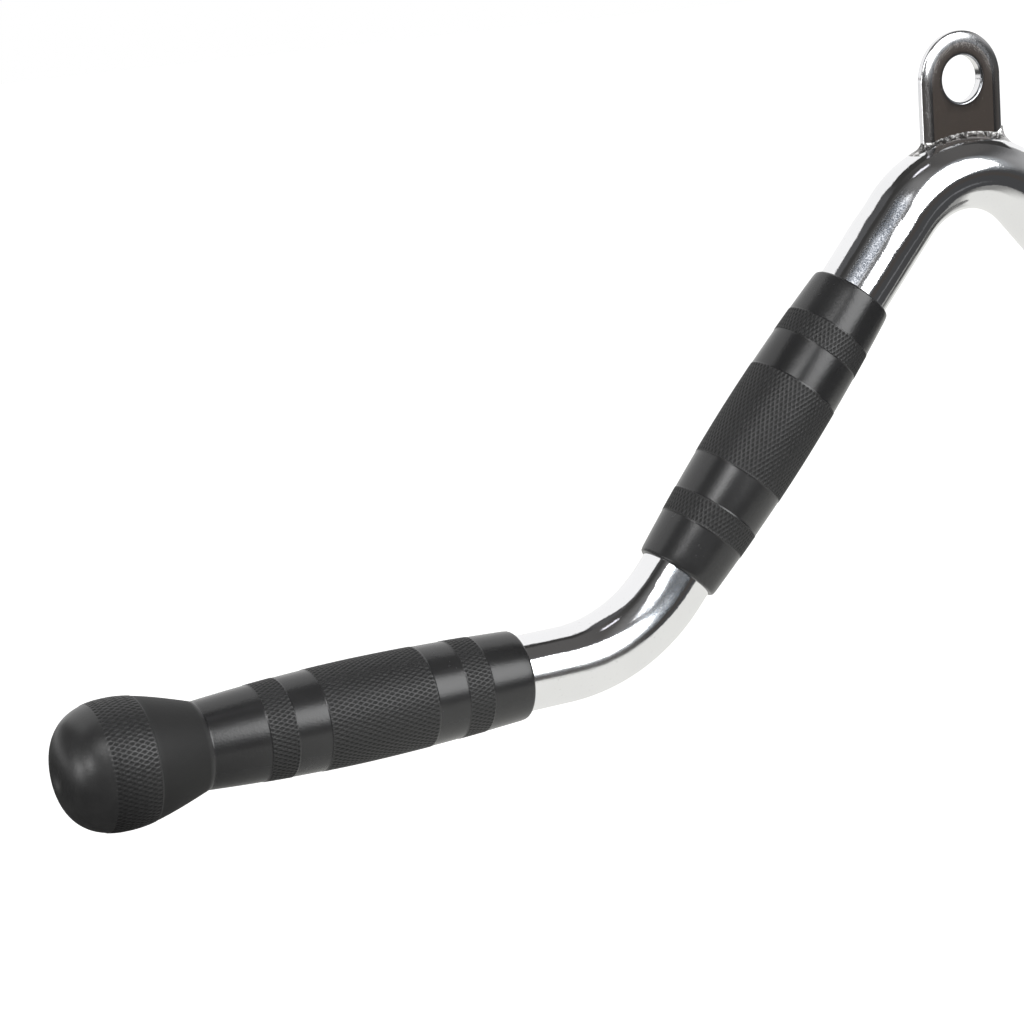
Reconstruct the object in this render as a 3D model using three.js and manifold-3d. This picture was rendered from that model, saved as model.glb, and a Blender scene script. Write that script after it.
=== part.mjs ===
// Cable EZ bar: a round bar bent into a wide W, an eye plate welded upright on its arch,
// and a rubber grip on each of its four legs.
// Millimetres. +X points to the right end, +Y to the back and +Z up.
// The origin is the centre of the hole in the eye plate, so the part hangs below it.

import * as THREE from 'three';
import { mergeVertices } from 'three/addons/utils/BufferGeometryUtils.js';
import Module from 'manifold-3d';

const wasm = await Module();
wasm.setup();

// Bar. Its centreline lies in the plane y = 0.
const barRadius = 12.7;
const archBendRadius = 36;
const legSlope = THREE.MathUtils.degToRad(48);
const lowerBendRadius = 56;
const barEndChamferWidth = 1.5;

// Eye plate. The hole's height is measured from the top of the arch, the top wall from the hole's edge.
// Its edges are ground to a cushion, wide on the face and shallow in the thickness.
const eyeHoleRadius = 8;
const eyeHoleHeight = 19.4;
const eyeTopWallHeight = 8.3;
const eyePlateWidth = 33;
const eyePlateThickness = 4;
const eyeCushionWidth = 3;
const eyeCushionDepth = 1.2;
const eyeHoleRoundingRadius = 0.8;
const eyeRootFaceWidth = 1.6;

// Weld. A leg lies on the bar and a height climbs the plate. The bead is domed along the plate's
// sides, and higher and hollow round its narrow ends.
const weldSideLegLength = 5.2;
const weldSideHeight = 1.2;
const weldEndLegLength = 5;
const weldEndHeight = 4;
const weldLedgeWidth = 0.4;
const weldSideHollowShare = 0.12;
const weldEndHollowShare = 0.9;
const weldCornerShare = 0.98;

// Grips. A rubber thickness is measured from the bar's surface.
const knurlRiseHeight = 0.25;
const gripRimRadius = 1.1;

// Inner grip, from its upper end to its lower end, and the bare bar above and below it on its leg.
const innerEndBandLength = 15.9;
const innerNarrowKnurlLength = 8.7;
const innerPlainBandLength = 14.2;
const innerWideKnurlLength = 35.6;
const innerEndThickness = 1.6;
const innerMiddleThickness = 3.9;
const innerBareLength = 32.2;
const innerStandOffLength = 5.6;

// Outer grip, from its open end to the tip of its bulb, and the bare bar before it on its leg.
const outerBareLength = 17.7;
const outerEndBandLength = 15.5;
const outerNarrowKnurlLength = 8.8;
const outerPlainBandLength = 11.2;
const outerWideKnurlLength = 37.2;
const outerNeckBandLength = 18.7;
const outerFlareLength = 19.3;
const bulbKnurlLength = 14.6;
const bulbDomeLength = 12.7;
const outerEndThickness = 2.15;
const outerMiddleThickness = 3.95;
const neckThickness = 1.4;
const bulbThickness = 7.9;
const bulbEndWallThickness = 13.4;
const tipRecessRadius = 4.5;
const tipRecessDepth = 1.8;
const tipRecessRoundingRadius = 0.7;

// Clearances between neighbours, and the overrun of a cut.
const boreClearance = 0.3;
const barSeatClearance = 0.3;
const weldClearance = 0.3;
const cutOverrunLength = 2;

// Shapes of the curves: the powers of the barrel, the flare and the dome, and the most of a wall
// that its rim's rounding may take.
const barrelPower = 1.85;
const flarePower = 1.85;
const domePower = 3;
const rimWallShare = 0.9;

// Facets.
const roundSides = 32;
const holeSides = 40;
const topSides = 14;
const crownSides = 72;
const archSteps = 20;
const lowerBendSteps = 10;
const bevelSteps = 3;
const domeSteps = 7;
const rimSteps = 2;

// Places that follow from the sizes above.
const archTop = -(eyeHoleHeight + barRadius);
const archCentre = archTop - archBendRadius;
const crownRadius = archBendRadius + barRadius;
const archArc = archBendRadius * legSlope;
const lowerArc = lowerBendRadius * legSlope;
const boreRadius = barRadius + boreClearance;
const innerGripLength = 2 * (innerEndBandLength + innerNarrowKnurlLength + innerPlainBandLength)
  + innerWideKnurlLength;
const barrelLength = outerEndBandLength + 2 * (outerNarrowKnurlLength + outerPlainBandLength)
  + outerWideKnurlLength + outerNeckBandLength;
const outerGripLength = barrelLength + outerFlareLength + bulbKnurlLength + bulbDomeLength;
const outerBoreDepth = outerGripLength - bulbEndWallThickness;
const handLegLength = innerBareLength + innerGripLength + innerStandOffLength;
const handLegEnd = archArc + handLegLength;
const outerLegStart = handLegEnd + lowerArc;
const halfBarLength = outerLegStart + outerBareLength + outerBoreDepth - barSeatClearance;

// Materials
const chrome = { color: 0xd9d9d6, roughness: 0.12, metalness: 1 };
const weldChrome = { color: 0xc9c8c4, roughness: 0.28, metalness: 1 };
const rubber = { color: 0x303030, roughness: 0.55, metalness: 0 };

function named(name, geometry, finish) {
  const mesh = new THREE.Mesh(geometry, new THREE.MeshStandardMaterial(finish));
  mesh.name = name;
  return mesh;
}

// A closed mesh as a solid that can be joined and cut. Faces that shrank to a line are left out.
function solid(geometry) {
  const bare = geometry.clone();
  bare.deleteAttribute('normal');
  bare.deleteAttribute('uv');
  const merged = mergeVertices(bare);
  const index = merged.index.array;
  const kept = [];
  for (let i = 0; i < index.length; i += 3) {
    const [a, b, c] = [index[i], index[i + 1], index[i + 2]];
    if (a !== b && b !== c && c !== a) kept.push(a, b, c);
  }
  const vertProperties = new Float32Array(merged.attributes.position.array);
  const triVerts = new Uint32Array(kept);
  return new wasm.Manifold(new wasm.Mesh({ numProp: 3, vertProperties, triVerts }));
}

function geometryOf(manifold) {
  const mesh = manifold.getMesh();
  const geometry = new THREE.BufferGeometry();
  geometry.setAttribute('position', new THREE.BufferAttribute(mesh.vertProperties, 3));
  geometry.setIndex(new THREE.BufferAttribute(mesh.triVerts, 1));
  geometry.computeVertexNormals();
  return geometry;
}

// The centreline of the right half at a distance along it from the top of the arch:
// an arc down to the leg's slope, a straight, an arc back to level, and a straight.
function centreline(distance) {
  const clamp = THREE.MathUtils.clamp;
  const archTurn = clamp(distance, 0, archArc) / archBendRadius;
  const handRun = clamp(distance - archArc, 0, handLegLength);
  const lowerTurn = clamp(distance - handLegEnd, 0, lowerArc) / lowerBendRadius;
  const outerRun = Math.max(distance - outerLegStart, 0);
  const slope = archTurn - lowerTurn;
  const lowerAcross = Math.sin(legSlope) - Math.sin(legSlope - lowerTurn);
  const lowerDrop = Math.cos(legSlope - lowerTurn) - Math.cos(legSlope);
  const across = archBendRadius * Math.sin(archTurn) + handRun * Math.cos(legSlope)
    + lowerBendRadius * lowerAcross + outerRun;
  const drop = archBendRadius * (1 - Math.cos(archTurn)) + handRun * Math.sin(legSlope)
    + lowerBendRadius * lowerDrop;
  return { across, height: archTop - drop, slope };
}

// Distances at which a ring of the bar stands: close together in the bends, far apart on the straights.
function ringDistances() {
  const half = [];
  for (let i = 1; i <= archSteps / 2; i++) half.push((archArc * i) / (archSteps / 2));
  half.push(handLegEnd);
  for (let i = 1; i <= lowerBendSteps; i++) half.push(handLegEnd + (lowerArc * i) / lowerBendSteps);
  half.push(halfBarLength);
  return [...half.map((distance) => -distance).reverse(), 0, ...half];
}

class BarPath extends THREE.Curve {
  constructor() {
    super();
    this.distances = ringDistances();
  }

  getPoint(t) {
    const place = THREE.MathUtils.clamp(t, 0, 1) * (this.distances.length - 1);
    const i = Math.min(Math.floor(place), this.distances.length - 2);
    const distance = THREE.MathUtils.lerp(this.distances[i], this.distances[i + 1], place - i);
    const { across, height } = centreline(Math.abs(distance));
    return new THREE.Vector3(Math.sign(distance) * across, 0, height);
  }

  getUtoTmapping(u) {
    return u;
  }
}

// Turns a piece made round the Y axis so that it runs outward along a leg, from a distance on the bar.
function placeOnLeg(object, side, distance) {
  const { across, height, slope } = centreline(distance);
  const outward = new THREE.Vector3(side * Math.cos(slope), 0, -Math.sin(slope));
  object.position.set(side * across, 0, height);
  object.quaternion.setFromUnitVectors(new THREE.Vector3(0, 1, 0), outward);
  object.updateMatrixWorld();
  return object;
}

// Bar: a round section swept along the centreline, both ends chamfered.
function barGeometry() {
  const section = new THREE.Shape();
  section.absarc(0, 0, barRadius, 0, 2 * Math.PI);
  const path = new BarPath();
  const steps = path.distances.length - 1;
  const sweep = new THREE.ExtrudeGeometry(section, {
    steps, curveSegments: roundSides / 2, bevelEnabled: false, extrudePath: path,
  });
  const rim = barRadius + cutOverrunLength;
  const chamferCut = new THREE.LatheGeometry([
    new THREE.Vector2(barRadius - barEndChamferWidth, 0),
    new THREE.Vector2(barRadius - barEndChamferWidth - cutOverrunLength, cutOverrunLength),
    new THREE.Vector2(rim, cutOverrunLength),
    new THREE.Vector2(rim, -barEndChamferWidth - cutOverrunLength),
    new THREE.Vector2(barRadius - barEndChamferWidth, 0),
  ].reverse(), roundSides);
  let bar = solid(sweep);
  for (const side of [-1, 1]) {
    const cutter = placeOnLeg(new THREE.Object3D(), side, halfBarLength);
    bar = bar.subtract(solid(chamferCut.clone().applyMatrix4(cutter.matrixWorld)));
  }
  return geometryOf(bar);
}

// The shape that the foot of the plate is cut to: a drum on the axis of the arch's bend.
// Its middle fits over the bar and its sides bevel the plate for the weld.
function footCutter(allowance) {
  const rootRadius = crownRadius + barSeatClearance - allowance;
  const bevelRadius = rootRadius + weldSideHeight + weldClearance;
  const root = eyeRootFaceWidth / 2 + allowance;
  const face = eyePlateThickness / 2 + allowance;
  const reach = face + cutOverrunLength;
  const outline = [
    [0, -reach], [bevelRadius, -reach], [bevelRadius, -face], [rootRadius, -root],
    [rootRadius, root], [bevelRadius, face], [bevelRadius, reach], [0, reach],
  ].map(([radius, y]) => new THREE.Vector2(radius, y));
  return new THREE.LatheGeometry(outline, crownSides).translate(0, 0, archCentre);
}

// Eye plate without its hole: straight sides, a round top, cushioned edges and a bevelled foot.
// The allowance makes a fuller copy, which clears the weld.
function eyePlateBlank(allowance) {
  const halfWidth = eyePlateWidth / 2 + allowance;
  const topCentre = eyeHoleRadius + eyeTopWallHeight - eyePlateWidth / 2;
  const outline = new THREE.Shape();
  outline.moveTo(-halfWidth, archTop);
  outline.lineTo(halfWidth, archTop);
  outline.lineTo(halfWidth, topCentre);
  outline.absarc(0, topCentre, halfWidth, 0, Math.PI, false);
  const depth = eyePlateThickness + 2 * allowance - 2 * eyeCushionDepth;
  const plate = new THREE.ExtrudeGeometry(outline, {
    depth, steps: 1, curveSegments: topSides, bevelEnabled: true, bevelSegments: bevelSteps,
    bevelThickness: eyeCushionDepth, bevelSize: eyeCushionWidth, bevelOffset: -eyeCushionWidth,
  });
  plate.translate(0, 0, -depth / 2).rotateX(Math.PI / 2);
  return solid(plate).subtract(solid(footCutter(allowance)));
}

// The cutter of the hole: a drum that widens to the rounded edges at both faces of the plate.
function holeCutter() {
  const face = eyePlateThickness / 2;
  const reach = face + cutOverrunLength;
  const mouth = eyeHoleRadius + eyeHoleRoundingRadius;
  const half = [];
  for (let i = 0; i <= bevelSteps; i++) {
    const turn = (i / bevelSteps) * (Math.PI / 2);
    half.push(new THREE.Vector2(
      mouth - eyeHoleRoundingRadius * Math.sin(turn),
      eyeHoleRoundingRadius * (1 - Math.cos(turn)) - face,
    ));
  }
  return new THREE.LatheGeometry([
    new THREE.Vector2(0, -reach),
    new THREE.Vector2(mouth, -reach),
    ...half,
    ...half.map(({ x, y }) => new THREE.Vector2(x, -y)).reverse(),
    new THREE.Vector2(mouth, reach),
    new THREE.Vector2(0, reach),
  ], holeSides);
}

// Points round a rectangle with round corners, the same number whatever its size.
function roundedRectangle(halfLength, halfWidth, corner) {
  const points = [];
  const cornerSteps = 4;
  const edgeSteps = 10;
  const straight = halfLength - corner;
  const corners = [[1, 1], [-1, 1], [-1, -1], [1, -1]];
  corners.forEach(([sx, sy], quarter) => {
    for (let i = 0; i <= cornerSteps; i++) {
      const angle = (quarter + i / cornerSteps) * (Math.PI / 2);
      points.push([
        sx * straight + corner * Math.cos(angle),
        sy * (halfWidth - corner) + corner * Math.sin(angle),
      ]);
    }
    if (quarter % 2 === 0) {
      for (let i = 1; i < edgeSteps; i++) {
        points.push([sx * straight * (1 - (2 * i) / edgeSteps), sy * halfWidth]);
      }
    }
  });
  return points;
}

// Weld: a mound round the plate's foot, worked out flat and then bent over the crown of the arch.
// Each point of its outline climbs from the bar's surface to the plate along a section that is
// domed or hollow. The first ring is a skirt that reaches down into the bar.
function weldMound() {
  const { lerp, smoothstep } = THREE.MathUtils;
  const innerLong = eyePlateWidth / 2 + weldClearance + weldLedgeWidth;
  const innerWide = eyePlateThickness / 2 + weldClearance + weldLedgeWidth;
  const outerWide = innerWide + weldSideLegLength;
  const inner = roundedRectangle(innerLong, innerWide, innerWide * weldCornerShare);
  const outer = roundedRectangle(innerLong + weldEndLegLength, outerWide, outerWide * weldCornerShare);
  const count = inner.length;
  const moundSteps = 4;
  const flat = [];
  for (let step = -1; step <= moundSteps; step++) {
    const turn = (Math.max(step, 0) / moundSteps) * (Math.PI / 2);
    for (let i = 0; i < count; i++) {
      const atEnd = smoothstep(Math.abs(inner[i][0]), innerLong - eyeCushionWidth, innerLong);
      const hollow = lerp(weldSideHollowShare, weldEndHollowShare, atEnd);
      const spread = lerp(Math.cos(turn), 1 - Math.sin(turn), hollow);
      const climb = lerp(Math.sin(turn), 1 - Math.cos(turn), hollow);
      const surface = Math.sqrt(barRadius ** 2 - outer[i][1] ** 2) - barRadius;
      const top = lerp(weldSideHeight, weldEndHeight, atEnd);
      flat.push([
        lerp(inner[i][0], outer[i][0], spread),
        lerp(inner[i][1], outer[i][1], spread),
        step < 0 ? surface - weldEndLegLength : lerp(surface, top, climb),
      ]);
    }
  }
  flat.push([0, 0, -barRadius], [0, 0, weldSideHeight]);
  const positions = flat.flatMap(([along, y, height]) => {
    const angle = along / crownRadius;
    const radius = crownRadius + height;
    return [radius * Math.sin(angle), y, archCentre + radius * Math.cos(angle)];
  });
  const under = flat.length - 2;
  const over = flat.length - 1;
  const top = under - count;
  const faces = [];
  for (let i = 0; i < count; i++) {
    const next = (i + 1) % count;
    faces.push(under, next, i, over, top + i, top + next);
    for (let low = 0; low < top; low += count) {
      const high = low + count;
      faces.push(low + i, low + next, high + next, low + i, high + next, high + i);
    }
  }
  const geometry = new THREE.BufferGeometry();
  geometry.setAttribute('position', new THREE.Float32BufferAttribute(positions, 3));
  geometry.setIndex(faces);
  return geometry;
}

// Bar and plate are cut out of the mound, and the front and the rear pass are its two halves.
function weldPasses() {
  const crown = new THREE.TorusGeometry(archBendRadius, boreRadius, roundSides, crownSides);
  crown.rotateX(Math.PI / 2).translate(0, 0, archCentre);
  const bead = solid(weldMound()).subtract(solid(crown)).subtract(eyePlateBlank(weldClearance));
  const reach = eyePlateWidth + weldEndLegLength;
  const half = new THREE.BoxGeometry(2 * reach, reach, 2 * reach);
  const offset = (reach + weldClearance) / 2;
  return [-1, 1].map((side) => {
    const keep = half.clone().translate(0, side * offset, archTop);
    return geometryOf(bead.intersect(solid(keep)));
  });
}

// The radius of a barrel along its length, from a first to a last radius through a fuller middle.
function barrelRadius(share, first, middle, last) {
  const end = share < 0.5 ? first : last;
  return middle - (middle - end) * Math.abs(2 * share - 1) ** barrelPower;
}

// Outline points of a row of bands that start at `from`; knurled bands stand proud of the plain ones.
function bandPoints(bands, from, radiusAt) {
  const points = [];
  let start = from;
  for (const { length, knurled, steps } of bands) {
    for (let i = 0; i <= steps; i++) {
      const along = start + (length * i) / steps;
      points.push(new THREE.Vector2(radiusAt(along) + (knurled ? knurlRiseHeight : 0), along));
    }
    start += length;
  }
  return points;
}

// A rounded rim at an open end: an arc from the end face to the outside. `inward` is 1 at the near end.
function rimPoints(end, radius, inward) {
  const rounding = Math.min(gripRimRadius, (radius - boreRadius) * rimWallShare);
  const points = [];
  for (let i = 0; i <= rimSteps; i++) {
    const turn = (i / rimSteps) * (Math.PI / 2);
    points.push(new THREE.Vector2(
      radius - rounding * (1 - Math.sin(turn)),
      end + inward * rounding * (1 - Math.cos(turn)),
    ));
  }
  return points;
}

// Inner grip: an open sleeve, the same from both ends.
const innerBands = [
  { length: innerEndBandLength, knurled: false, steps: 2 },
  { length: innerNarrowKnurlLength, knurled: true, steps: 1 },
  { length: innerPlainBandLength, knurled: false, steps: 2 },
  { length: innerWideKnurlLength, knurled: true, steps: 4 },
  { length: innerPlainBandLength, knurled: false, steps: 2 },
  { length: innerNarrowKnurlLength, knurled: true, steps: 1 },
  { length: innerEndBandLength, knurled: false, steps: 2 },
];

function innerGripGeometry() {
  const end = barRadius + innerEndThickness;
  const middle = barRadius + innerMiddleThickness;
  const barrel = (along) => barrelRadius(along / innerGripLength, end, middle, end);
  const skin = bandPoints(innerBands, 0, barrel);
  const profile = [
    new THREE.Vector2(boreRadius, 0),
    ...rimPoints(0, end, 1),
    ...skin.slice(1, -1),
    ...rimPoints(innerGripLength, end, -1).reverse(),
    new THREE.Vector2(boreRadius, innerGripLength),
    new THREE.Vector2(boreRadius, 0),
  ];
  return geometryOf(solid(new THREE.LatheGeometry(profile, roundSides)));
}

// Outer grip: a barrel down to a neck, a flare up to a bulb, a dome with a small recess in its tip,
// and a blind bore whose floor stops against the end of the bar.
const barrelBands = [
  { length: outerEndBandLength, knurled: false, steps: 2 },
  { length: outerNarrowKnurlLength, knurled: true, steps: 1 },
  { length: outerPlainBandLength, knurled: false, steps: 1 },
  { length: outerWideKnurlLength, knurled: true, steps: 4 },
  { length: outerPlainBandLength, knurled: false, steps: 1 },
  { length: outerNarrowKnurlLength, knurled: true, steps: 1 },
  { length: outerNeckBandLength, knurled: false, steps: 2 },
];
const bulbBands = [
  { length: outerFlareLength, knurled: false, steps: 5 },
  { length: bulbKnurlLength, knurled: true, steps: 4 },
];

function outerGripGeometry() {
  const end = barRadius + outerEndThickness;
  const middle = barRadius + outerMiddleThickness;
  const neck = barRadius + neckThickness;
  const crest = barRadius + bulbThickness;
  const crestAt = barrelLength + outerFlareLength + bulbKnurlLength / 2;
  const flareLength = crestAt - barrelLength;
  const domeLength = outerGripLength - crestAt;
  const barrel = (along) => barrelRadius(along / barrelLength, end, middle, neck);
  const flare = (along) => crest - (crest - neck) * ((crestAt - along) / flareLength) ** flarePower;
  const head = (along) => crest * (1 - ((along - crestAt) / domeLength) ** domePower) ** (1 / domePower);
  const bulb = (along) => (along > crestAt ? head(along) : flare(along));
  const firstTurn = Math.asin((bulbKnurlLength / 2 / domeLength) ** (domePower / 2));
  const lip = tipRecessRadius + tipRecessRoundingRadius;
  const lastTurn = Math.acos((lip / crest) ** (domePower / 2));
  const dome = [];
  for (let i = 0; i <= domeSteps; i++) {
    const turn = THREE.MathUtils.lerp(firstTurn, lastTurn, i / domeSteps);
    dome.push(new THREE.Vector2(
      crest * Math.cos(turn) ** (2 / domePower),
      crestAt + domeLength * Math.sin(turn) ** (2 / domePower),
    ));
  }
  const lipHeight = dome[dome.length - 1].y;
  const floor = lipHeight - tipRecessDepth;
  const recess = [
    new THREE.Vector2(tipRecessRadius, lipHeight - tipRecessRoundingRadius),
    new THREE.Vector2(tipRecessRadius, floor + tipRecessRoundingRadius),
    new THREE.Vector2(tipRecessRadius - tipRecessRoundingRadius, floor),
    new THREE.Vector2(0, floor),
  ];
  const profile = [
    new THREE.Vector2(0, outerBoreDepth),
    new THREE.Vector2(boreRadius, outerBoreDepth),
    new THREE.Vector2(boreRadius, 0),
    ...rimPoints(0, end, 1),
    ...bandPoints(barrelBands, 0, barrel).slice(1, -1),
    ...bandPoints(bulbBands, barrelLength, bulb),
    ...dome,
    ...recess,
  ];
  return geometryOf(solid(new THREE.LatheGeometry(profile, roundSides)));
}

const group = new THREE.Group();

group.add(named('bar', barGeometry(), chrome));
group.add(named('eye_plate', geometryOf(eyePlateBlank(0).subtract(solid(holeCutter()))), chrome));
const [frontPass, rearPass] = weldPasses();
group.add(named('weld_front', frontPass, weldChrome));
group.add(named('weld_rear', rearPass, weldChrome));

for (const [word, side] of [['left', -1], ['right', 1]]) {
  const innerGrip = named(`inner_grip_${word}`, innerGripGeometry(), rubber);
  group.add(placeOnLeg(innerGrip, side, handLegEnd - innerStandOffLength - innerGripLength));
  const outerGrip = named(`outer_grip_${word}`, outerGripGeometry(), rubber);
  group.add(placeOnLeg(outerGrip, side, halfBarLength + barSeatClearance - outerBoreDepth));
}

export default group;
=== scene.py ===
import math

import bpy
import numpy as np
from mathutils import Matrix


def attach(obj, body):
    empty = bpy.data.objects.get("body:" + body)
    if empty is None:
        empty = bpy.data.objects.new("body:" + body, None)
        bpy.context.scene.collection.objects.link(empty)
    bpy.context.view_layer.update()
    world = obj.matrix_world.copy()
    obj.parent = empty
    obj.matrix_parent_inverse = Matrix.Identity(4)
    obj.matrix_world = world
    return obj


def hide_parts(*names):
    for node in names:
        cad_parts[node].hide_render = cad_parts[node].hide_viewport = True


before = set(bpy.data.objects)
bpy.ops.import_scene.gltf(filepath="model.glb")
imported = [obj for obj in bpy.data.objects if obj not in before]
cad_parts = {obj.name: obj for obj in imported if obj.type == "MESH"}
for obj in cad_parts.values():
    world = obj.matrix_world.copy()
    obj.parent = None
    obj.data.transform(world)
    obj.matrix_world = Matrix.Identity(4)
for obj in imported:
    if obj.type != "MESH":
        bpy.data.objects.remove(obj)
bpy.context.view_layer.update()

# Cable EZ bar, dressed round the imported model. Sizes are in millimetres and leave as metres.
# x runs to the right end, y to the back, z up, and the origin is the centre of the eye's hole.
mm = 0.001
fullTurn = 2 * math.pi
backward = np.array([0.0, 1.0, 0.0])
print("frame loaded:", ", ".join(sorted(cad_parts)))


# One socket. Sums, products and powers of sockets and numbers add their Math nodes.
class Socket:
    def __init__(self, tree, plug=None):
        self.tree, self.plug = tree, plug

    # Any node: its type, its settings, then the values or links of its sockets by name or number.
    # A colour is written as three numbers.
    def node(self, kind, settings=None, sockets=None, out=0):
        made = self.tree.nodes.new(kind)
        for key, value in (settings or {}).items():
            setattr(made, key, value)
        for key, value in (sockets or {}).items():
            entry = made.inputs[key]
            if isinstance(value, Socket):
                self.tree.links.new(value.plug, entry)
            else:
                entry.default_value = (*value, 1) if entry.type == "RGBA" else value
        return Socket(self.tree, made.outputs[out] if made.outputs else None)

    # another output of the same node
    def sibling(self, out):
        return Socket(self.tree, self.plug.node.outputs[out])

    def maths(self, operation, first, second=0.0):
        return self.node("ShaderNodeMath", {"operation": operation}, {0: first, 1: second})

    def __add__(self, other): return self.maths("ADD", self, other)
    def __radd__(self, other): return self.maths("ADD", other, self)
    def __sub__(self, other): return self.maths("SUBTRACT", self, other)
    def __rsub__(self, other): return self.maths("SUBTRACT", other, self)
    def __mul__(self, other): return self.maths("MULTIPLY", self, other)
    def __rmul__(self, other): return self.maths("MULTIPLY", other, self)
    def __pow__(self, other): return self.maths("POWER", self, other)

    # 0 below low, 1 above high, and a smooth step between them; low may be the larger one
    def step(self, low, high):
        return self.node("ShaderNodeMapRange", {"interpolation_type": "SMOOTHSTEP"},
                         {"Value": self, "From Min": low, "From Max": high})

    # rises from 0 to 1 between the first two values and falls back between the last two
    def band(self, start, full, leave, end):
        return self.step(start, full) * self.step(end, leave)

    # a colour that goes from one to another as this mask goes from 0 to 1
    def mix(self, colour, other):
        return self.node("ShaderNodeMix", {"data_type": "RGBA"},
                         {0: self, 6: colour, 7: other}, out=2)


# An empty node tree for a material or the world.
def emptySheet(owner):
    owner.use_nodes = True
    owner.node_tree.nodes.clear()
    return Socket(owner.node_tree)


# A material and its empty node tree.
def newMaterial(name):
    material = bpy.data.materials.new(name)
    return material, emptySheet(material)


# A place on the piece ("Object"), on its UV map ("UV"), or a direction of the world ("Generated").
def coordinates(sheet, which):
    return sheet.node("ShaderNodeTexCoord", out=which)


# The number at each vertex that a piece was tagged with.
def tagged(sheet, name):
    return sheet.node("ShaderNodeAttribute", {"attribute_name": name}, out="Fac")


# Three axes of a point or direction, as three sockets.
def axes(vector):
    split = vector.node("ShaderNodeSeparateXYZ", None, {0: vector})
    return [split.sibling(i) for i in range(3)]


# Fractal noise, mostly from 0.3 to 0.7.
def noise(place, scale, detail=3.0, roughness=0.55):
    return place.node("ShaderNodeTexNoise", None, {
        "Vector": place, "Scale": scale, "Detail": detail, "Roughness": roughness})


# A position stretched along its axes, so that noise on it turns into streaks.
def stretched(place, scale):
    return place.node("ShaderNodeMapping", None, {"Vector": place, "Scale": scale})


# A new object in the scene for a mesh, a lamp or the camera.
def placed(name, data):
    made = bpy.data.objects.new(name, data)
    bpy.context.scene.collection.objects.link(made)
    return made


# A grid of points becomes two triangles between neighbours in rows and columns, split along the
# other diagonal where `crossed` says so. Columns run round a closed loop. Rows are closed into a
# ring, or each end gets one pole point and a fan. The signed volume, the sum of v0.(v1 x v2)/6
# over the triangles, says which way the faces point, and they turn outward.
def gridPiece(name, points, uv, closedRows=False, poles=None, crossed=None):
    rows, columns = points.shape[:2]
    i, j = np.meshgrid(np.arange(rows if closedRows else rows - 1), np.arange(columns),
                       indexing="ij")
    nextRow, nextColumn = (i + 1) % rows, (j + 1) % columns
    corners = np.stack([i * columns + j, i * columns + nextColumn,
                        nextRow * columns + nextColumn, nextRow * columns + j], -1).reshape(-1, 4)
    # the seam column is written as one more column, so that a pattern runs on across it
    cornerUv = np.stack([uv[i, j], uv[i, j + 1], uv[i + 1, j + 1], uv[i + 1, j]], 2)
    cornerUv = cornerUv.reshape(-1, 4, 2)
    turned = np.zeros(len(corners), bool) if crossed is None else crossed[i, j].ravel()
    order = np.where(turned[:, None], [[0, 1, 3, 1, 2, 3]], [[0, 1, 2, 0, 2, 3]])
    faces = [np.take_along_axis(corners, order, 1).reshape(-1, 3)]
    faceUv = [np.take_along_axis(cornerUv, order[..., None], 1).reshape(-1, 3, 2)]
    places = points.reshape(-1, 3)
    if poles is not None:
        ring, around = np.arange(columns), np.roll(np.arange(columns), -1)
        for pole, row in ((len(places), 0), (len(places) + 1, rows - 1)):
            fan = np.stack([row * columns + ring, row * columns + around,
                            np.full(columns, pole)], -1)
            fanUv = np.stack([uv[row, ring], uv[row, ring + 1], uv[row, ring]], 1)
            faces.append(fan[:, ::-1] if row == 0 else fan)
            faceUv.append(fanUv[:, ::-1] if row == 0 else fanUv)
        places = np.concatenate([places, poles])
    faces, faceUv = np.concatenate(faces), np.concatenate(faceUv)
    a, b, c = (places[faces[:, k]] for k in range(3))
    volume = np.einsum("ij,ij->i", a, np.cross(b, c)).sum() / 6
    if volume < 0:
        faces, faceUv = faces[:, ::-1], faceUv[:, ::-1]
    mesh = bpy.data.meshes.new(name)
    mesh.vertices.add(len(places))
    mesh.vertices.foreach_set("co", (places * mm).astype(np.float32).ravel())
    mesh.loops.add(faces.size)
    mesh.loops.foreach_set("vertex_index", faces.astype(np.int32).ravel())
    mesh.polygons.add(len(faces))
    mesh.polygons.foreach_set("loop_start", np.arange(0, faces.size, 3, dtype=np.int32))
    mesh.polygons.foreach_set("use_smooth", np.ones(len(faces), bool))
    mesh.uv_layers.new(name="UVMap").data.foreach_set("uv", faceUv.astype(np.float32).ravel())
    mesh.update(calc_edges=True)
    print(f"{name}: {len(faces)} triangles, {abs(volume) / 1000:.1f} cm3")
    return placed(name, mesh)


# A texture place for each point: a value for its row, and turns from 0 to 1 along the row.
def uvGrid(rowValues, columns):
    return np.stack(np.meshgrid(rowValues, np.linspace(0, 1, columns + 1), indexing="ij"), -1)


# A number at each vertex, which a material reads by name: one for each point, or one for each row
# of so many columns.
def tag(piece, name, values, columns=1):
    spread = np.repeat(values, columns)
    whole = np.zeros(len(piece.data.vertices), np.float32)
    whole[:spread.size] = spread
    piece.data.attributes.new(name, "FLOAT", "POINT").data.foreach_set("value", whole)


# A piece that stands for CAD nodes hides them, joins the root body and takes its finish.
def standFor(piece, material, slot, *nodes):
    piece.data.materials.append(material)
    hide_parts(*nodes)
    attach(piece, "root")


# share^2 (3 - 2 share), where the share goes from 0 at low to 1 at high
def smoothStep(value, low, high):
    share = np.clip((value - low) / (high - low), 0, 1)
    return share * share * (3 - 2 * share)


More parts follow.
